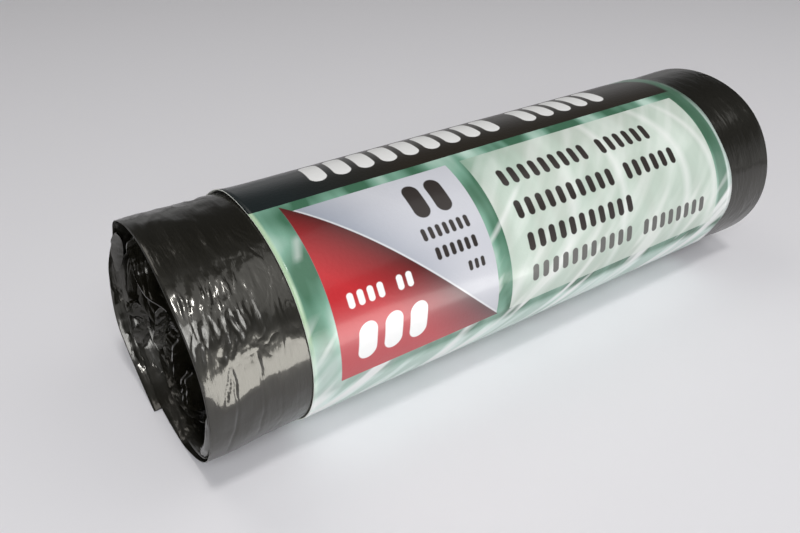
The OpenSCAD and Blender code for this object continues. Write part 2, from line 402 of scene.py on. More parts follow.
def turn_edge(turn, near):
    """Place in the section where a turn begins: the end's oval scaled by the share, pressed
    flatter towards the middle, uneven in soft waves and sunk. At the open end the turns have
    sunk most at the front, where they leave a hollow behind the rim."""
    end = 0 if near else 1
    bearing = turn_bearing(turn)
    loose = smooth(np.maximum(0, TURNS - 1 - turn) / LOOSE_SHARE)
    flat = 1 - FLATTER * np.maximum(0, 1 - turn / (TURNS - 2)) ** 2
    waves = rumple(bearing / 37, turn * 0.7, 5) + 0.3 * rumple(bearing / 13, turn * 1.9, 6)
    scale = share(turn) * (1 + UNEVEN[end] * loose * waves)
    oval = end_outline(bearing, near)
    y = scale * oval[..., 0]
    z = AXIS_H + scale * flat * (oval[..., 1] - AXIS_H)
    back_share = np.clip((y + SUNK_HALF_WIDTH) / (2 * SUNK_HALF_WIDTH), 0, 1)
    sunk = loose * (SUNK_BACK[end] + SUNK_FRONT[end] * (1 - back_share))
    return np.stack([y + sunk, z - SUNK_DOWN[end] * loose], -1)


def crest_depth(turn, near):
    """How far behind the rim the crest of a turn lies: none at the outermost turn, then a drop,
    then deeper towards the middle, with the unevenness of crumpled edges."""
    bearing = turn_bearing(turn)
    deep = np.maximum(0, TURNS - 1 - turn)
    drop, recess, crumple = (2.6, 6.0, 1.3) if near else (0.8, 3.0, 0.35)
    waves = rumple(bearing / 29, turn * 1.3, 7) + 0.3 * rumple(bearing / 8, turn * 2.1, 8)
    fall = drop + (recess - drop) * np.minimum(1, deep / (TURNS - 1)) ** 1.4
    return smooth(deep / 0.3) * (fall + crumple * waves)


# Points across one turn: where they lie between its two edges, and how deep behind its crest.
# A wide gap and then four thin bunches of plies, with slits between them.
TURN_PLACES = np.array((
    0, 0.025, 0.09, 0.27, 0.33, 0.355, 0.4, 0.425, 0.54,
    0.565, 0.61, 0.635, 0.76, 0.785, 0.82, 0.845, 0.93, 0.955, 1,
))
TURN_DEPTHS = np.array((
    0, 2.2, 5, 5, 3.6, 2, 2, 3.4, 3.4, 1.3, 1.3, 3, 3, 1.7, 1.7, 2.4, 2.4, 0.5, 0,
))
# The same for the outermost turn, as distances in from its outer edge: two thin plies and then
# the open gap behind them
WALL_PLACES = np.array((0, 0, 0, 0, 0, 0, 0, 0, 0, 0, 0, 1.5, 1.1, 0.95, 0.72, 0.62, 0.32, 0.2, 0))
WALL_DEPTHS = np.array((
    0, 2.2, 5, 5.4, 5.5, 5.6, 5.7, 5.8, 5.9, 5.9, 5.8, 5.2, 3, 0.45, 0.25, 1.6, 1.4, -0.14, 0,
))
WALL_OPEN = 11
# Bearings and spreads of the low back, where the plies part, and of the back, where they curl
LOW_BACK, CURLED_BACK = (288, 42), (322, 56)
# How deep the crests between the bunches dip, and the share of all these depths at the far end
CREST_DIPS = 2.4
FAR_DEPTHS = 0.4
# At the back the rim of the outermost ply curls in over its own inner face
WALL_CURL = np.array((0,) * WALL_OPEN + (-0.5, -0.1, 0.4, 0.3, 0.1, -0.1, 0.25, 0))


def end_points(near):
    """Points of an end face as a grid of stations along the winding by points across a turn.

    A point lies between the turn's inner and outer edge. Behind the rim it lies as deep as the
    crest, plus its own depth behind the crest."""
    turn = np.arange((TURNS - 1) * STATIONS + 1)[:, None] / STATIONS
    bearing = turn_bearing(turn)
    inner, outer = turn_edge(turn, near), turn_edge(turn + 1, near)
    wide = np.linalg.norm(outer - inner, axis=-1)
    outermost = smooth(2 * (turn - TURNS + 2.4))
    low_back = hill(bearing, *LOW_BACK) * (1 if near else 0)
    stretch = 1 + 0.6 * low_back * (WALL_PLACES > 0.6)
    back = hill(bearing, *CURLED_BACK) * (1 if near else 0)
    crinkle = creases(bearing / 5 + WALL_DEPTHS, WALL_DEPTHS / 1.5, 21)
    crinkle = crinkle + 0.6 * rumple(bearing / 1.9, WALL_DEPTHS, 22)
    curled = back * (WALL_CURL + 0.1 * crinkle * ((WALL_PLACES > 0) & (WALL_PLACES < 1.4)))
    wall = 1 - np.minimum(WALL_PLACES * stretch + curled, 0.75 * wide) / wide
    open_end = wall[:, WALL_OPEN:WALL_OPEN + 1]
    wall[:, :WALL_OPEN] = TURN_PLACES[:WALL_OPEN] / TURN_PLACES[WALL_OPEN] * open_end
    across = blend(TURN_PLACES, wall, outermost)
    ply = np.round(across * 4)
    dips = CREST_DIPS * np.maximum(0, rumple(bearing / 41 + 3 * turn, ply * 1.7 + turn, 9))
    turn_depths = TURN_DEPTHS + dips * (TURN_DEPTHS > 1) * (TURN_DEPTHS < 2.2)
    wall_depths = WALL_DEPTHS + 1.4 * low_back * ((WALL_DEPTHS > 0) & (WALL_DEPTHS < 1))
    own = blend(turn_depths, wall_depths, outermost) * (1 if near else FAR_DEPTHS)
    crest = blend(crest_depth(turn, near), crest_depth(turn + 1, near), smooth(across * 2 - 0.6))
    along = blend(rim(turn, near), rim(turn + 1, near), across) + crest + own
    x = NEAR_X + along if near else FAR_X - along
    return np.concatenate([x[..., None], blend(inner, outer, across[..., None])], -1)


# Loose plies that stand up in the open end: four places along the free edge as depth behind the
# rim, y and z; how far the sheet has moved along y and z at its foot; its height, and the share
# of it that is left at the two ends; how deep its crumples are; and how thick it is
LOOSE_PLIES = (
    (
        ((1.2, 20.0, 40.2), (0.6, 23.0, 37), (0.4, 25.1, 32.4), (0.9, 26.0, 27.4)),
        (-2.2, -0.6), 2.0, 0.02, 0.05, 0.2,
    ),
    (
        ((0.8, 9, 44.0), (1.2, 12.6, 38.8), (1.6, 12.8, 33), (2.2, 1, 29.6)),
        (-0.3, 0), 4, 0.7, 0.08, 0.3,
    ),
    (
        ((1.2, 23.4, 20.5), (1.1, 23.6, 17), (1.2, 22.6, 13), (1.5, 20.5, 9)),
        (-3.4, 1.7), 3.4, 0.2, 0.4, 0.16,
    ),
    (
        ((2.3, 5, 28.5), (2.4, 7, 24.4), (2.4, 9.8, 19), (2.6, 14, 11.7)),
        (-0.8, 0), 3, 0.7, 0.12, 0.3,
    ),
    (
        ((1.7, -6.6, 27.8), (1.9, -5, 23.8), (1.9, -3, 19.1), (2.0, 1.3, 8.6)),
        (-0.5, 0.2), 4, 0.7, 0.08, 0.6,
    ),
    (
        ((1.9, -7.4, 20), (1.9, -6.6, 16), (1.9, -6, 13.1), (2.0, -5, 7.3)),
        (-0.4, 0), 4, 0.7, 0.08, 0.5,
    ),
    (
        ((2.1, -10.4, 21.6), (2.0, -9.7, 18), (2.0, -8.6, 14), (2.1, -7.3, 9.4)),
        (-0.4, 0), 4, 0.7, 0.08, 0.5,
    ),
)
# Points along a ply's edge and down from it, and the random seed of the first
PLY_STEPS = 49
PLY_DOWN = 12
PLY_SEED = 40


def quads(number):
    """Four-sided faces of a grid of vertex numbers."""
    corners = [number[:-1, :-1], number[1:, :-1], number[1:, 1:], number[:-1, 1:]]
    return np.stack(corners, -1).reshape(-1, 4)


def curve_through(places):
    """Even steps t from 0 to 1, and the points there on the cubic curve through four places."""
    t = np.linspace(0, 1, PLY_STEPS)
    curve = np.polynomial.polynomial.polyfit(np.linspace(0, 1, 4), np.array(places, float), 3)
    return t, np.polynomial.polynomial.polyval(t, curve).T


def closed_tube(loops):
    """A row of closed loops, whose x is the depth behind the near rim, as a closed skin: points
    and four-sided faces, with the first and the last loop closed by a strip across."""
    number = np.arange(loops.shape[0] * loops.shape[1]).reshape(loops.shape[:2])
    half = loops.shape[1] // 2
    faces = quads(np.hstack([number, number[:, :1]]))
    caps = [quads(np.stack([row[:half], row[:half - 1:-1]])) for row in (number[0][::-1], number[-1])]
    points = loops.reshape(-1, 3)
    points[:, 0] += NEAR_X
    return points, np.vstack([faces, *caps])


def loose_ply(edge, lean, height, ends_share, crumple, thick, seed):
    """One loose ply as a closed thin sheet: points and four-sided faces. A cubic curve is its free
    edge. From there it runs down to its foot by its height and lean, most at its middle. The
    creases move it along its normal, and half its thickness does so either way."""
    t, crest = curve_through(edge)
    down = np.linspace(0, 1, PLY_DOWN)[None, :, None]
    tall = blend(ends_share, 1, (1 - (2 * t - 1) ** 2) ** 0.8)[:, None, None]
    sheet = crest[:, None] + tall * down * np.array([height, *lean])
    rounded = 0.5 * height * ends_share * (1 - smooth(np.minimum(t, 1 - t) / 0.14))
    ragged = 2.5 * crumple * rumple(t * 9, 0, seed) + rounded
    sheet[..., 0] += ragged[:, None] * (1 - down[..., 0])
    along, across = np.gradient(sheet, axis=0), np.gradient(sheet, axis=1)
    normal = np.cross(along, across)
    normal /= np.linalg.norm(normal, axis=-1, keepdims=True)
    length = np.linalg.norm(np.diff(crest, axis=0), axis=1).sum()
    u, v = np.broadcast_arrays(t[:, None] * length, down[..., 0] * np.linalg.norm((height, *lean)))
    folds = creases(u / 1.5 + 0.4 * v, v / 4, seed) + 0.4 * creases(u / 0.8 - 0.5 * v, v / 2, seed + 1)
    sheet = sheet + crumple * folds[..., None] * normal
    front, rear = sheet + normal * thick / 2, sheet - normal * thick / 2
    return closed_tube(np.concatenate([front, rear[:, ::-1]], axis=1))


# Rolled fold that closes the rim low at the front: places along its middle as depth behind the
# rim, y and z, and its radius
FOLD_MIDDLE = ((1.5, -26.2, 23), (1.3, -24.9, 18.2), (1.3, -21.8, 12.1), (1.6, -16.5, 6.4))
FOLD_RADIUS = 1.25


def rolled_fold():
    """The rolled fold as a closed tube: points and four-sided faces. Circles stand square to a
    cubic curve. Creases make their radius uneven, and a half circle closes it at the ends."""
    t, middle = curve_through(FOLD_MIDDLE)
    along = np.gradient(middle, axis=0)
    along /= np.linalg.norm(along, axis=1, keepdims=True)
    side = np.cross(along, (1, 0, 0))
    side /= np.linalg.norm(side, axis=1, keepdims=True)
    turned = np.radians(np.arange(0, 360, 15))[None, :, None]
    ring = side[:, None] * np.cos(turned) + np.cross(side, along)[:, None] * np.sin(turned)
    closing = np.sqrt(np.clip(1 - (1 - np.minimum(t, 1 - t) / 0.07).clip(0) ** 2, 0.01, 1))
    ridges = 0.16 * creases(turned[..., 0] * 2.2 + 0.5 * t[:, None], t[:, None] * 4, 31)
    radius = (FOLD_RADIUS + ridges) * closing[:, None]
    return closed_tube(middle[:, None] + ring * radius[..., None])


def winding_index(first):
    """Vertex numbers of an end's grid. A point on a turn's inner edge is the point on the outer
    edge of the turn before, so both have one number, and only the first turn has its own."""
    rows = (TURNS - 1) * STATIONS + 1
    number = first + np.arange(rows * (ACROSS + 1)).reshape(rows, ACROSS + 1)
    number[STATIONS:, 0] = number[:-STATIONS, -1]
    return number


def end_border(number):
    """The end's outer boundary: once round the outermost turn and in across the loose edge."""
    return np.concatenate([number[-STATIONS - 1:, -1], number[-1, -2:0:-1]])


# Creases that run round the film of the near end: where each starts and stops along the roll,
# its bearings at those ends, and its depth. Then how far each spreads and wanders.
ROUND_CREASES = (
    (-77.6, -80.4, 160, 178, 0.2),
    (-77.5, -77.8, 160, 180, 0.22),
    (-77.8, -79.8, 178, 212, 0.26),
    (-72.1, -72.4, 157, 180, 0.16),
    (-72.4, -73.6, 178, 206, 0.14),
    (-68.6, -68.9, 160, 200, 0.07),
)
CREASE_SPREAD, CREASE_WANDER = 0.28, 0.2
# The film is drawn flat between the bearings where it mirrors the bright table. The flat's lower
# edge is a fold that comes up as it runs away from the rim.
FLAT_TOP = 165
FLAT_LOW = ((-84, 173), (-81, 176.5), (-78.5, 177), (-73, 170.5), (-69, 169.5), (-62, 170))
# Heights of the crumples: the facets of the near and the far end, the streaks and the finer ones
# between them, the zigzag over the top, and the waves along the front's upper edge
FACETS_NEAR, FACETS_FAR = 0.13, 0.05
STREAKS, FINE_STREAKS = 0.34, 0.15
ZIGZAG = 0.14
EDGE_WAVES = 0.12


def side_relief(x, bearing):
    """Height of the film's crumples above the smooth side: broad creased facets on the bare
    ends, streaks round the upper front of the near end, a zigzag over its top, a flat with a
    folded lower edge, and a few sharp creases."""
    bearing = bearing % 360
    near = smooth((BAND_X[0] + 1 - x) / 5)
    far = smooth((x - BAND_X[1] + 1) / 6)
    facets = creases(x / 9, bearing / 24, 11, 15) + 0.5 * creases(x / 3.2, bearing / 12, 12, 30)
    shift = 0.8 * rumple(x / 4, bearing / 10, 13, 36)
    drift = 0.05 * (bearing - 140)
    streaky = smooth((bearing - 112) / 22) * smooth((160 - bearing) / 12)
    streaky = streaky * smooth((-67.5 - x + 0.12 * (140 - bearing)) / 6)
    streaks = creases(x / 1.3 + drift + shift, bearing / 12, 14, 30)
    fine = creases(x / 0.7 + drift + shift, bearing / 6, 17, 60)
    zone = smooth((92 - bearing) / 14) * smooth((bearing - 45) / 14)
    zigzag = creases(x / 2.3 + bearing / 12, bearing / 12, 15, 30)
    streaky = streaky * (STREAKS * streaks + FINE_STREAKS * fine)
    relief = near * (FACETS_NEAR * facets + streaky + ZIGZAG * zone * zigzag)
    wavy = hill(bearing, 159, 5) * near
    relief = relief + wavy * EDGE_WAVES * rumple(x / 2.2, bearing / 6, 18, 60)
    low = np.interp(x, *np.array(FLAT_LOW).T)
    rise = np.clip((bearing - FLAT_TOP) / (low - FLAT_TOP), 0, 1) ** 2
    fold = HALF_Y * np.radians(low - FLAT_TOP) ** 2 / 2 * near
    relief = relief + fold * rise * (1 - smooth((bearing - low) / 14))
    relief = relief + far * FACETS_FAR * facets
    for x0, x1, a0, a1, depth in ROUND_CREASES:
        t = (bearing - a0) / (a1 - a0)
        line = blend(x0, x1, t) + CREASE_WANDER * rumple(t * 5, 0, 16)
        inside = smooth(t * 8) * smooth((1 - t) * 8)
        relief = relief - depth * inside * np.exp(-(((x - line) / CREASE_SPREAD) ** 2))
    return relief


# Rings of the near end, of the held middle and of the far end, and the power by which they crowd
# towards the rims. Then how far a rim is rounded in, and over which length.
NEAR_RINGS, HELD_RINGS, FAR_RINGS = 90, 3, 24
RING_CROWDING = 1.15
RIM_ROUNDING, RIM_REACH = 0.18, 0.2


def side_rings():
    """Points of the side between the two ends, as a grid of rings by stations round the roll,
    the loose edge's step included. A ring goes from the end's oval to the band's."""
    near_t = np.linspace(0, 1, NEAR_RINGS + 1)[1:] ** RING_CROWDING
    far_t = np.linspace(0, 1, FAR_RINGS + 1)[1:][::-1] ** RING_CROWDING
    bare = (BAND_X[0] - NEAR_X, FAR_X - BAND_X[1])
    held_x = np.linspace(*BAND_X, HELD_RINGS + 2)[1:-1]
    x = np.concatenate([NEAR_X + near_t * bare[0], held_x, FAR_X - far_t * bare[1]])[:, None]
    t = np.concatenate([near_t, np.ones(HELD_RINGS), far_t])[:, None]
    is_near = x < 0
    round_step = np.arange(STATIONS + ACROSS)
    along = np.minimum(round_step, STATIONS) / STATIONS
    inward = np.maximum(0, round_step - STATIONS) / ACROSS
    bearing = TAIL_BEARING + 360 * (1 - along)
    held = outline(bearing, 0, PAPER + FOOT_GAP)
    near_oval, far_oval = end_outline(bearing, True), end_outline(bearing, False)
    loose = np.where(is_near[..., None], near_oval, far_oval)
    oval = blend(loose, held, smooth(t)[..., None])
    step = blend(TAIL_STEP, TAIL_STEP_HELD, smooth(t)) / HALF_Y
    scale = np.where(inward > 0, 1 - step * inward, 1 - step * (1 - smooth(along / TAIL_SHARE)))
    relief = side_relief(x, bearing)
    rounding = RIM_ROUNDING * np.exp(-t * bare[0] / RIM_REACH)
    scale = scale + (relief * smooth(t * 7) - rounding) / HALF_Y
    centre = np.array([0, AXIS_H])
    place = centre + scale[..., None] * (oval - centre)
    floor = blend(0, PAPER + FOOT_GAP, smooth(t))
    place[..., 1] = np.maximum(place[..., 1], floor)
    near_rim, far_rim = (
        blend(rim(TURNS - 1 + along, near), rim(TURNS - 1, near), inward) for near in (True, False)
    )
    drawn = np.where(is_near, near_rim, -far_rim) * (1 - smooth(t * 1.5))
    return np.concatenate([(x + drawn)[..., None], place], -1)


# How deep the middle of the hollow lies at the near and the far end, and the angle past which an
# edge is drawn sharp
HUB_DEPTHS = (3, 2)
SHARP_EDGE = np.radians(50)


def film_mesh():
    """The whole roll as one closed skin: two wound end faces and the side between them, with the
    loose plies and the rolled fold added."""
    near, far = end_points(True), end_points(False)
    sides = side_rings()
    ends_size = near.shape[0] * near.shape[1]
    near_number, far_number = winding_index(0), winding_index(ends_size)
    side_first = 2 * ends_size
    side_number = side_first + np.arange(sides.shape[0] * sides.shape[1]).reshape(sides.shape[:2])
    loops = np.vstack([end_border(near_number), side_number, end_border(far_number)])
    loops = np.hstack([loops, loops[:, :1]])
    middles = [points[: STATIONS // 2, 0].mean(0) for points in (near, far)]
    middle_first = side_first + side_number.size
    middles[0][0] += HUB_DEPTHS[0]
    middles[1][0] -= HUB_DEPTHS[1]
    points = np.vstack([near.reshape(-1, 3), far.reshape(-1, 3), sides.reshape(-1, 3), *middles])
    faces = [*quads(near_number), *quads(far_number)[:, ::-1], *quads(loops)[:, ::-1]]
    for number, middle, order in ((near_number, 0, 1), (far_number, 1, -1)):
        hub = np.concatenate([number[0, ::-1], number[1:STATIONS + 1, 0]])
        fan = np.stack([np.full(len(hub) - 1, middle_first + middle), hub[1:], hub[:-1]], -1)
        faces += [*fan[:, ::order]]
    loose = [loose_ply(*ply, PLY_SEED + 2 * k) for k, ply in enumerate(LOOSE_PLIES)]
    loose += [rolled_fold()]
    for more_points, more_faces in loose:
        faces += [*(more_faces + len(points))]
        points = np.vstack([points, more_points])
    used = np.unique(np.concatenate([np.ravel(face) for face in faces]))
    renumber = np.zeros(len(points), int)
    renumber[used] = np.arange(len(used))
    mesh = bpy.data.meshes.new("bag_roll_film")
    mesh.from_pydata((points[used] * MM).tolist(), [], [renumber[face].tolist() for face in faces])
    mesh.shade_smooth()
    mesh.set_sharp_from_angle(angle=SHARP_EDGE)
    return mesh


# Colour of the film, tint of its gloss, and heights of its wrinkles in metres. Its kinks show in
# patches, where a slow noise is above a limit, and grow from there by a rise.
FILM_COLOUR = (0.0062, 0.0056, 0.0036, 1)
FILM_TINT = (1, 0.98, 0.92, 1)
STREAK_HEIGHT, GRAIN_HEIGHT, KINK_HEIGHT = 0.00009, 0.00009, 0.0006
KINKS_ABOVE, KINKS_RISE = 0.44, 6
# Roughness and gloss level of the film's haze, of its sharp gloss and of the plies inside the open
# end. Then the sharp gloss's share, the share of the radius at which the inside starts, and how
# steep its border is.
HAZE, SHARP_GLOSS, INSIDE_GLOSS = (0.34, 0.9), (0.1, 1.0), (0.18, 0.5)
SHARP_SHARE = 0.5
INSIDE_RADIUS, INSIDE_BORDER = 0.93, 14

film_finish = Finish(
    "black_film", Base_Color=FILM_COLOUR, Specular_IOR_Level=HAZE[1], Roughness=HAZE[0],
    Specular_Tint=FILM_TINT,
)


def film_bump(finish):
    """Fine wrinkles of thin film: noise stretched round the roll, so its streaks run with the
    winding, a finer even grain, and in patches the sharp kinks where a noise crosses its middle."""
    place = finish.node("ShaderNodeTexCoord", output="Object")
    stretched = finish.node(
        "ShaderNodeMapping", {"vector_type": "POINT"}, {"Vector": place, "Scale": (1.0, 0.16, 0.16)}
    )
    streaks = finish.node(
        "ShaderNodeTexNoise", {"noise_dimensions": "3D"},
        {"Vector": stretched, "Scale": 900, "Detail": 3, "Roughness": 0.6},
    )
    grain = finish.node(
        "ShaderNodeTexNoise", {"noise_dimensions": "3D"}, {"Vector": place, "Scale": 260, "Detail": 2}
    )
    long_way = finish.node(
        "ShaderNodeMapping", {"vector_type": "POINT"}, {"Vector": place, "Scale": (1.0, 0.5, 0.5)}
    )
    kinks = finish.node(
        "ShaderNodeTexNoise", {"noise_dimensions": "3D"},
        {"Vector": long_way, "Scale": 190, "Detail": 2, "Distortion": 1.0},
    )
    kinked = finish.node("ShaderNodeTexNoise", {"noise_dimensions": "3D"}, {"Vector": place, "Scale": 34})
    sharp = (kinks - 0.5).math("ABSOLUTE") * ((kinked - KINKS_ABOVE) * KINKS_RISE).clipped()
    height = streaks * STREAK_HEIGHT + grain * GRAIN_HEIGHT + sharp * KINK_HEIGHT
    return finish.node("ShaderNodeBump", inputs={"Height": height, "Strength": 1.0, "Distance": 1.0})


def inside_share(finish):
    """1 on the plies inside the open end, which are duller than the outside, and 0 on the side:
    the squares of y and z, as shares of the oval's halves, against the square of a radius."""
    place = finish.node("ShaderNodeTexCoord", output="Object")
    y, z = (finish.node("ShaderNodeSeparateXYZ", inputs=(place,), output=axis) for axis in "YZ")
    across, up = y / (HALF_Y * MM), (z - AXIS_H * MM) / (HALF_Z * MM)
    return ((INSIDE_RADIUS ** 2 - across * across - up * up) * INSIDE_BORDER).clipped()


inside = inside_share(film_finish)
wrinkles = film_bump(film_finish)
film_finish.join(film_finish.shader, {"Normal": wrinkles})


def film_gloss(roughness, level):
    """Another gloss of the same film, with the same wrinkles."""
    return film_finish.node(
        "ShaderNodeBsdfPrincipled",
        inputs={
            "Base Color": FILM_COLOUR, "Roughness": roughness, "Specular IOR Level": level,
            "Specular Tint": FILM_TINT, "Normal": wrinkles,
        },
    )


haze = Wire(film_finish, film_finish.shader.outputs[0])
outside = film_finish.node("ShaderNodeMixShader", inputs=(SHARP_SHARE, haze, film_gloss(*SHARP_GLOSS)))
film_surface = film_finish.node(
    "ShaderNodeMixShader", inputs=(inside, outside, film_gloss(*INSIDE_GLOSS))
)
film_finish.join(film_finish.tree.nodes["Material Output"], {"Surface": film_surface})

film = bpy.data.objects.new("bag_roll_film", film_mesh())
film.data.materials.append(film_finish.material)
bpy.context.scene.collection.objects.link(film)
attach(film, "root")
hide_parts("bag_roll")


# Paper band. Glossy paper printed on the outside, wrapped once round the film and glued to
# itself low at the back. It holds the roll shut.
LAP_MIDDLE, LAP_HALF = 318, 14.35
LAP = (LAP_MIDDLE - LAP_HALF, LAP_MIDDLE + LAP_HALF)
# Bearings over which the sheet steps down off its lap, and how far its under end is pressed in
LAP_RAMP = 5
LAP_PRESSED = 0.04
# Steps round the band, and from its near to its far edge
BAND_ROUND, BAND_ALONG = 300, 104
# Where the far edge is cut short, and where either edge stands off the film: how far, round which
# bearing, and with which spread. Then how far from an edge that reaches, and the sheet's own waves.
FAR_CUTS = ((0.7, 140, 14), (2.0, 203, 14))
NEAR_CURL, FAR_CURL = (0.7, 74, 16), (0.5, 178, 24)
CURL_REACH = 2.5
BAND_WAVES = 0.1


def band_mesh():
    """The band as one open sheet, from its loose edge round the roll and on below itself: the
    roll's oval, grown by the clearance, by the paper below the lap, and by what curls and waves
    add. Its print map holds the place along the roll and the bearing."""
    bearing = np.linspace(LAP[0], LAP[1] + 360, BAND_ROUND + 1)[:, None]
    s = np.linspace(0, 1, BAND_ALONG + 1)[None, :]
    far_edge = BAND_X[1]
    for depth, *place in FAR_CUTS:
        far_edge = far_edge - depth * hill(bearing, *place)
    x = blend(BAND_X[0], far_edge, s)
    on_top = PAPER * (1 - smooth((bearing - LAP[1]) / LAP_RAMP))
    under = smooth((bearing - LAP[0] - 360 + LAP_RAMP) / LAP_RAMP) * LAP_PRESSED
    near_curl = NEAR_CURL[0] * hill(bearing, *NEAR_CURL[1:]) * np.exp(-(x - BAND_X[0]) / CURL_REACH)
    far_curl = FAR_CURL[0] * hill(bearing, *FAR_CURL[1:]) * np.exp(-(far_edge - x) / CURL_REACH)
    waves = BAND_WAVES * rumple(x / 21, bearing / 45, 21, 8) * hill(bearing, 150, 80)
    lift = CLEARANCE + PAPER + on_top - under + near_curl + far_curl + waves
    section = outline(bearing, lift, 0)
    section[..., 1] = np.maximum(section[..., 1], 0)
    points = np.concatenate([np.broadcast_to(x, lift.shape)[..., None], section], -1)
    number = np.arange(lift.size).reshape(lift.shape)
    faces = quads(number)
    mesh = bpy.data.meshes.new("paper_band")
    mesh.from_pydata((points.reshape(-1, 3) * MM).tolist(), [], faces.tolist())
    print_map = np.stack([np.broadcast_to(x, lift.shape), np.broadcast_to(bearing, lift.shape)], -1)
    layer = mesh.uv_layers.new(name="print")
    layer.uv.foreach_set("vector", print_map.reshape(-1, 2)[faces.ravel()].astype(np.float32).ravel())
    mesh.shade_smooth()
    return mesh


# Colours of the print. A shade is the darker part of a field, from its own side.
HEADER, HEADER_COOL = from_screen(38, 33, 26), from_screen(26, 33, 34)
GRASS = (from_screen(64, 106, 82), from_screen(116, 158, 138), from_screen(190, 216, 203))
GRASS_SHADE, GRASS_EDGE = from_screen(66, 98, 78), from_screen(178, 202, 166)
MINT = from_screen(218, 232, 226)
SILVER, SILVER_SHADE = from_screen(196, 197, 203), from_screen(146, 152, 164)
RED, RED_SHADE = from_screen(184, 38, 44), from_screen(52, 34, 32)
PALE, PALE_SHADE = from_screen(208, 216, 206), from_screen(150, 174, 156)
INK_DARK, INK_GREY = from_screen(48, 42, 40), from_screen(96, 95, 92)
WHITE = from_screen(240, 240, 238)
PAPER_BACK = from_screen(226, 228, 220)
# Height of the paper's grain in metres
PAPER_GRAIN = 0.00003

# Length round the roll of one degree of bearing, on average
ARC = 0.47
# Fields of the print, along the roll and by bearing. The red triangle hangs from the line between
# the apex and the tip, and the header has one rounded corner.
HEADER_FIELD = (50, 100)
CORNER_CENTRE, CORNER_RADIUS = (45, 90), 18.5
PANEL_TOP, PANEL_BOTTOM = 105.5, 190.5
LEFT_PANEL, RIGHT_PANEL = (-55.8, -15.5), (-11.5, 60.8)
APEX, TIP = (-55.6, 101.5), (-15.0, PANEL_BOTTOM)


def above(value, edge, soft=0.15):
    """1 where a value is above an edge and 0 below, over a soft border."""
    return ((value - edge) / soft + 0.5).clipped()


def between(value, low, high, soft=0.15):
    """1 where a value lies between two edges."""
    return above(value, low, soft) * (1 - above(value, high, soft))


def bars(along, bearing, start, stop, top, bottom, count, weight, slant):
    """Row of equal upright bars with round ends, along the roll and between two bearings. A bar is
    all that lies within half its width of a line; the slant leans it."""
    pitch = (stop - start) / count
    width = pitch * weight
    height = (bearing - (top + bottom) / 2) * ARC
    local = along - start + height * slant
    beside = (local / pitch).math("FRACT") * pitch - pitch / 2
    past_end = (height.math("ABSOLUTE") - ((bottom - top) * ARC - width) / 2).math("MAXIMUM", 0)
    distance = (beside * beside + past_end * past_end).math("SQRT")
    inside = 1 - above(distance, width / 2, 0.2)
    return inside * between(local, 0, stop - start, 0.02)


# Rows of plain bars, in order of printing: colour, where the row starts and stops along the roll,
# bearings of its top and bottom, how many bars, their width as a share of their pitch, how far they
# lean, and a gap in the row
BAR_ROWS = (
    (WHITE, -45, 46, 66, 91, 15, 0.7, 0.2, (9.6, 15.7)),
    (WHITE, -52.5, -36.3, 149, 156, 7, 0.62, 0.0, (-43.25, -40.9)),
    (WHITE, -52.5, -34, 164, 182, 3, 0.7, 0.15, None),
    (INK_DARK, -31, -19.5, 111, 129, 2, 0.7, 0.0, None),
    (INK_DARK, -31.5, -18.5, 133.5, 139.5, 7, 0.6, 0.0, None),
    (INK_DARK, -30, -18.5, 143.5, 149.5, 6, 0.6, 0.0, None),
    (INK_DARK, -23, -18, 154.5, 159.5, 3, 0.6, 0.0, None),
    (INK_DARK, -6.5, 44, 117.5, 127, 16, 0.58, 0.0, (21.9, 25.1)),
    (INK_DARK, -6.8, 48, 135, 144.5, 17, 0.58, 0.0, (25.4, 28.7)),
    (INK_DARK, -6.3, 29, 152, 161.5, 11, 0.58, 0.0, None),
    (INK_GREY, -6, 56, 169, 178.5, 20, 0.58, 0.0, (28.1, 31.2)),
)

# Blurred blades of grass that cross the pale panel: place along the roll and bearing at either end,
# how far the middle swings out, and the width in mm. One of them and a blade at the near corner
# also cross the ground.
LONG_BLADE = (-17, 152, -2, 128, 0, 1.3)
CORNER_BLADE = (-58.4, 129, -56.4, 119, 0, 1.2)
BLADES = (
    (25, 98, 19, 192, 5, 1.6),
    (42, 100, 43, 190, 7, 1.8),
    LONG_BLADE,
    (-2, 188, 12, 128, 3, 2.4),
    (52, 104, 57, 190, 5, 1.4),
    (-14.5, 196, -8, 168, 0, 2.2),
)
BLADE_STRENGTH = 0.55


def blade(along, bearing, x0, a0, x1, a1, swing, width):
    """1 on a blurred blade and 0 off it. Its middle runs straight between two places of the print
    and swings out by a parabola."""
    t = (bearing - a0) / (a1 - a0)
    middle = t * (x1 - x0) + x0 + t * (1 - t) * 4 * swing
    return between(along - middle, -width / 2, width / 2, width * 1.3) * between(t, 0, 1, 0.3)


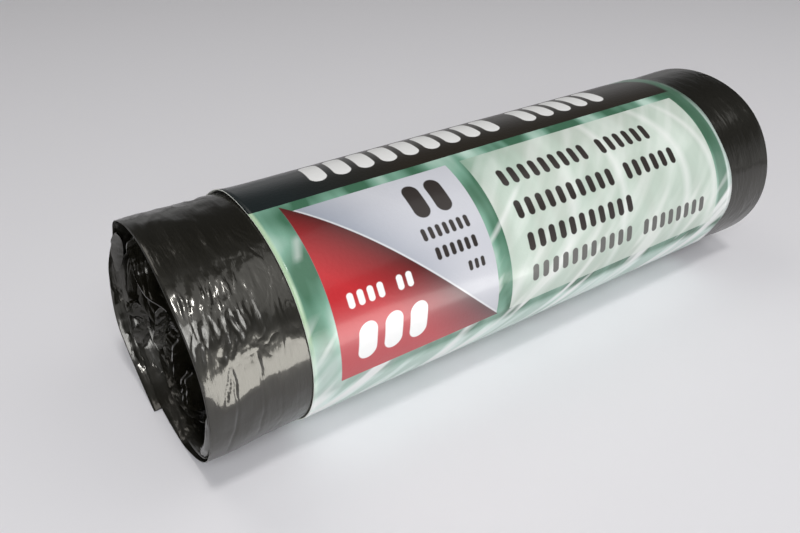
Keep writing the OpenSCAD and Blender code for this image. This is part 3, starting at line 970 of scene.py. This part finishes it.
def print_finish():
    """Printed face of the band, by fields laid one over another on the print map: blurred grass,
    a dark header, a folded red and silver panel, a pale panel and rows of plain bars. Low on the
    front, some pale fields are painted reflections of the table and painted glare."""
    finish = Finish(
        "label_print", Roughness=0.36, Specular_IOR_Level=0.32, Coat_Weight=0.3, Coat_Roughness=0.13
    )
    spot = finish.node("ShaderNodeUVMap", {"uv_map": "print"})
    x, turned = (finish.node("ShaderNodeSeparateXYZ", inputs=(spot,), output=axis) for axis in "XY")
    bearing = (turned / 360).math("FRACT") * 360

    # Blurred grass: soft leaning blades, broad patches, and shoots that cross them
    place = finish.node("ShaderNodeCombineXYZ", inputs=(x, bearing * ARC, 0.0))
    leaning = finish.node(
        "ShaderNodeMapping", {"vector_type": "POINT"},
        {"Vector": place, "Rotation": (0, 0, 0.42), "Scale": (0.16, 0.022, 1)},
    )
    blades = finish.node(
        "ShaderNodeTexNoise", {"noise_dimensions": "2D"}, {"Vector": leaning, "Scale": 1.0, "Detail": 1.5}
    )
    patches = finish.node(
        "ShaderNodeTexNoise", {"noise_dimensions": "2D"}, {"Vector": place, "Scale": 0.075, "Detail": 1}
    )
    crossing = finish.node(
        "ShaderNodeMapping", {"vector_type": "TEXTURE"},
        {"Vector": place, "Rotation": (0, 0, 0.8), "Scale": (4.2, 26, 1)},
    )
    shoots = finish.node(
        "ShaderNodeTexNoise", {"noise_dimensions": "2D"}, {"Vector": crossing, "Scale": 1.0, "Detail": 1}
    )
    bright_shoots, dark_shoots = above(shoots, 0.6, 0.16), above(shoots * -1, -0.42, 0.12)
    ground = finish.node(
        "ShaderNodeValToRGB",
        {"stops": ((0.34, GRASS[0]), (0.52, GRASS[1]), (0.74, GRASS[2]))},
        (blades * 0.8 + patches * 0.6 - 0.2,),
    )
    # Below the panels the ground is painted pale as a reflection of the bright table, fading round the
    # underside
    painted_table_reflection = above(bearing, 197, 5) * (1 - above(bearing, 238, 24) * 0.8)
    low_print = above(bearing, 162, 20) * (1 - above(bearing, 232, 24))
    ground_fields = (
        ((1 - above(x, -61.3, 0.7)) * 0.85, GRASS_EDGE),  # near edge
        (above(x, 61.2, 1.2) * 0.75, GRASS_SHADE),  # far edge
        (above(x, 65.2, 0.5) * above(bearing, 120, 30) * 0.8, MINT),  # rim of the far edge
        (between(bearing, 190.5, 195.5, 3) * 0.6, GRASS_SHADE),  # line under the panels
        (painted_table_reflection * 0.85, MINT),  # painted reflection of the table below that line
        (above(bearing, 168, 14) * (1 - above(x, -42, 24)) * 0.6, MINT),  # painted glare at the low near corner, fading towards the far end
        (dark_shoots * low_print * 0.45, GRASS[1]),
        (bright_shoots * low_print * 0.85, WHITE),
    )
    for field, tone in ground_fields:
        ground = finish.mix(field, ground, tone)

    # Pale panel at the right, shaded in its upper near corner, with blades across it
    washed = finish.mix((1 - above(x, -2, 18)) * (1 - above(bearing, 122, 26)), PALE, PALE_SHADE)
    pale = finish.mix(0.8, ground, washed)
    pale = finish.mix(bright_shoots * 0.22, pale, WHITE)
    pale = finish.mix(dark_shoots * 0.2, pale, PALE_SHADE)
    for row in BLADES:
        pale = finish.mix(blade(x, bearing, *row) * BLADE_STRENGTH, pale, WHITE)
    glade = blade(x, bearing, *LONG_BLADE) * 0.6 + blade(x, bearing, *CORNER_BLADE) * 0.4
    ground = finish.mix(glade.math("MINIMUM", 0.7), ground, WHITE)
    in_height = between(bearing, PANEL_TOP, PANEL_BOTTOM)
    colour = finish.mix(between(x, *RIGHT_PANEL) * in_height, ground, pale)

    # Silver panel at the left, and the red triangle below its slanting line
    fall = (TIP[1] - APEX[1]) / (TIP[0] - APEX[0])
    below = (bearing - APEX[1] - (x - APEX[0]) * fall) * ARC / np.hypot(1, fall * ARC)
    silver_shade = (1 - above(below * -1, 5, 12)) * (1 - above(x, -32, 24))
    silver = finish.mix(silver_shade, SILVER, SILVER_SHADE)
    silver = finish.mix(between(below, -0.4, 0, 0.3) * 0.55, silver, WHITE)
    colour = finish.mix(between(x, *LEFT_PANEL) * in_height, colour, silver)
    red = finish.mix((1 - above(below, 5.4, 12)) * 0.94, RED, RED_SHADE)
    # The red pales towards its bottom: a painted reflection of the table
    red = finish.mix(above(bearing, 160, 20) * 0.12, red, SILVER)
    in_red = above(x, LEFT_PANEL[0]) * above(below, 0) * (1 - above(bearing, PANEL_BOTTOM))
    colour = finish.mix(in_red, colour, red)

    # Dark header over the top
    header = finish.mix(above(x, -38, 30), HEADER_COOL, HEADER)
    corner_x = (x - CORNER_CENTRE[0]).math("MAXIMUM", 0)
    corner_up = ((CORNER_CENTRE[1] - bearing) * ARC).math("MAXIMUM", 0)
    corner = (corner_x * corner_x + corner_up * corner_up).math("SQRT")
    in_header = between(bearing, *HEADER_FIELD) * (1 - above(corner, CORNER_RADIUS, 1.4))
    colour = finish.mix(in_header, colour, header)

    for ink, *row, gap in BAR_ROWS:
        inked = bars(x, bearing, *row)
        if gap:
            inked = inked * (1 - between(x, *gap, 0.02))
        colour = finish.mix(inked, colour, ink)

    grain = finish.node("ShaderNodeTexNoise", {"noise_dimensions": "2D"}, {"Vector": place, "Scale": 1.3})
    bump = finish.node("ShaderNodeBump", inputs={"Height": grain * PAPER_GRAIN, "Distance": 1.0})
    finish.join(finish.shader, {"Base Color": colour, "Normal": bump})
    return finish.material


paper_band = bpy.data.objects.new("paper_band", band_mesh())
paper_band.data.materials.append(print_finish())
paper_back = Finish("paper_back", Base_Color=(*PAPER_BACK, 1), Roughness=0.7)
paper_band.data.materials.append(paper_back.material)
thickness = paper_band.modifiers.new("paper", "SOLIDIFY")
thickness.thickness = PAPER * MM
thickness.offset = -1
thickness.material_offset = 1
thickness.material_offset_rim = 1
bpy.context.scene.collection.objects.link(paper_band)
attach(paper_band, "root")
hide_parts("label_band")
